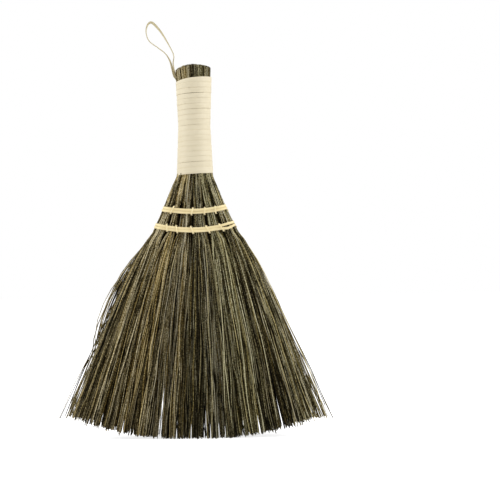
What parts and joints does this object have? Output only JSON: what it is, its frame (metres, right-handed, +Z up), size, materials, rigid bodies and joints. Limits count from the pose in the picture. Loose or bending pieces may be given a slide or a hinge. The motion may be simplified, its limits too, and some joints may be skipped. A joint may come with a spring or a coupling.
{
  "type": "hand broom",
  "caption": "Short hand broom: bundles of dark plant fibre, sewn flat into a fan and bound at the handle with pale cane strip, with a hanging loop.",
  "frame": {"origin": "middle of the flat foot at the lowest part of the sweep edge, on the surface that the broom stands on", "axes": "+Z up along the handle, +X across the fan to the right as seen from the front, -Y out of the front face"},
  "size_m": [0.1879, 0.0251, 0.2922],
  "materials": {
    "bristle": "matte",
    "wrap_cane": "satin",
    "band_cane": "satin",
    "stitch_cane": "satin",
    "loop_cane": "satin"
  },
  "bodies": {
    "broom": {"bristle_bundle_1": "bristle", "bristle_bundle_2": "bristle", "bristle_bundle_3": "bristle", "bristle_bundle_4": "bristle", "bristle_bundle_5": "bristle", "bristle_bundle_6": "bristle", "handle_wrap": "wrap_cane", "upper_band": "band_cane", "lower_band": "band_cane", "upper_stitching": "stitch_cane", "lower_stitching": "stitch_cane", "loop_tails": "loop_cane"},
    "loop": {"hanging_loop": "loop_cane"}
  },
  "joints": [
    {"name": "loop_bend", "type": "hinge", "parent": "broom", "child": "loop", "pos_m": [-0.0116, 0, 0.2524], "axis": [0, 1, 0], "range_deg": [-55, 8], "stiffness_Nm_per_rad": 0.002}
  ]
}
